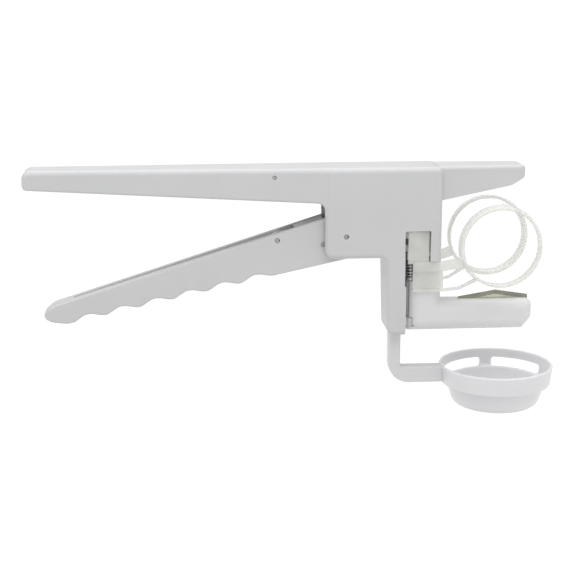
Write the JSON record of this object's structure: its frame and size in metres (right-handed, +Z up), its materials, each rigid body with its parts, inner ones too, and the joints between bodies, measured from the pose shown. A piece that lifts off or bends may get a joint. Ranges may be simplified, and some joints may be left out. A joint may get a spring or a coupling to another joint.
{
  "type": "handheld egg cracker and yolk separator",
  "caption": "Squeeze tool with a housing and nose, a scalloped lower handle, sprung arms with blades, egg hoops that slide down, and a clip-in slotted yolk cup.",
  "frame": {"origin": "palm face of the upper handle, on the middle plane, where the hand holds the tool", "axes": "+X along the tool towards the nose, +Y to the left, +Z up out of the palm face"},
  "size_m": [0.2673, 0.0584, 0.1256],
  "materials": {
    "white_plastic": "fine satin",
    "separator_plastic": "satin",
    "clear_plastic": "translucent satin",
    "nylon": "natural",
    "steel_pin": "ground",
    "sheet_steel": "rolled",
    "blade_steel": "bright",
    "spring_steel": "drawn"
  },
  "bodies": {
    "housing": {"housing": "white_plastic", "pivot_pin": "steel_pin", "spring_anchor_pin": "steel_pin", "pivot_washers": "nylon", "left_hinge_pin": "steel_pin", "right_hinge_pin": "steel_pin", "left_arm_spring": "spring_steel", "right_arm_spring": "spring_steel", "return_spring": "spring_steel"},
    "lower_handle": {"lower_handle": "white_plastic", "lever_bar": "sheet_steel", "lever_rivets": "steel_pin"},
    "carriage": {"carriage": "nylon", "drive_pin": "steel_pin", "spreader_wedge": "sheet_steel"},
    "left_arm": {"left_arm": "white_plastic", "left_blade": "blade_steel", "left_blade_rivets": "steel_pin"},
    "right_arm": {"right_arm": "white_plastic", "right_blade": "blade_steel", "right_blade_rivets": "steel_pin"},
    "left_cradle": {"left_cradle": "clear_plastic"},
    "right_cradle": {"right_cradle": "clear_plastic"},
    "separator": {"separator_arm": "separator_plastic", "separator_cup": "separator_plastic"}
  },
  "joints": [
    {"name": "lever_pivot", "type": "hinge", "parent": "housing", "child": "lower_handle", "pos_m": [0.0887, 0, -0.034], "axis": [0, 1, 0], "range_deg": [0, 17], "stiffness_Nm_per_rad": 0.9, "springref_deg": -20.05, "deforming": ["return_spring"]},
    {"name": "carriage_slide", "type": "slide", "parent": "housing", "child": "carriage", "axis": [0, 0, -1], "range_m": [0, 0.01083]},
    {"name": "left_arm_swing", "type": "hinge", "parent": "housing", "child": "left_arm", "pos_m": [0.122, 0.0068, -0.06], "axis": [0, 0, 1], "range_deg": [0, 20.2]},
    {"name": "right_arm_swing", "type": "hinge", "parent": "housing", "child": "right_arm", "pos_m": [0.122, -0.0068, -0.06], "axis": [0, 0, -1], "range_deg": [0, 20.2]},
    {"name": "left_cradle_slide", "type": "slide", "parent": "left_arm", "child": "left_cradle", "axis": [0, 0, -1], "range_m": [0, 0.01083]},
    {"name": "right_cradle_slide", "type": "slide", "parent": "right_arm", "child": "right_cradle", "axis": [0, 0, -1], "range_m": [0, 0.01083]},
    {"name": "separator_pull", "type": "slide", "parent": "housing", "child": "separator", "axis": [0, 0, -1], "range_m": [0, 0.05]}
  ],
  "couplings": [
    {"joint": "carriage_slide", "follows": "lever_pivot", "m_per_rad": 0.036166},
    {"joint": "left_arm_swing", "follows": "lever_pivot", "ratio": 1.1765},
    {"joint": "right_arm_swing", "follows": "lever_pivot", "ratio": 1.1765},
    {"joint": "left_cradle_slide", "follows": "lever_pivot", "m_per_rad": 0.036166},
    {"joint": "right_cradle_slide", "follows": "lever_pivot", "m_per_rad": 0.036166}
  ]
}
